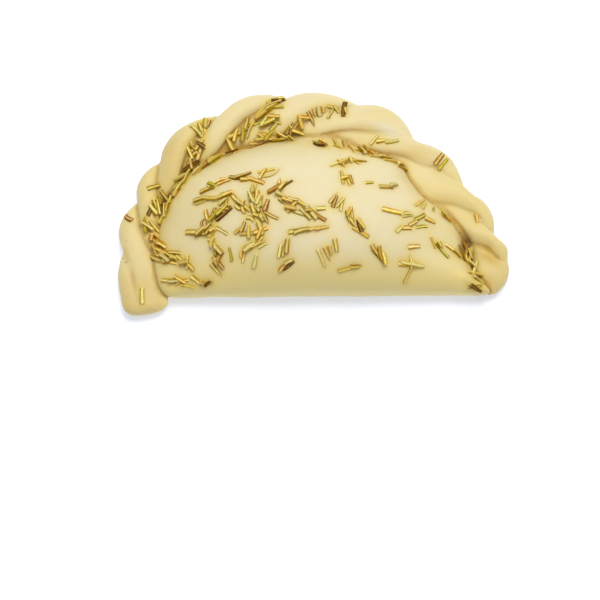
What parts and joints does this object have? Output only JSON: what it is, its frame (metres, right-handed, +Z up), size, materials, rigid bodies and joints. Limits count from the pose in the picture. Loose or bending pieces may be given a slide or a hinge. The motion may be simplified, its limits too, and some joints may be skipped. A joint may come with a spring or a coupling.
{
  "type": "empanada",
  "caption": "Half-moon turnover of uncooked pale dough with a straight front fold, a rope-crimped rim round its arc and cut rosemary needles over the top.",
  "frame": {"origin": "bottom centre of the bounding box, on the surface the empanada rests on", "axes": "+X along the straight fold, +Y from the straight fold to the crimped arc, +Z up"},
  "size_m": [0.1194, 0.0706, 0.0265],
  "materials": {
    "dough": "pale yellow uncooked dough, smooth and faintly waxy, a little translucent",
    "rosemary": "dried cut needles, sage green to straw and brown, dull"
  },
  "bodies": {
    "root": {"empanada": "dough"}
  },
  "joints": []
}
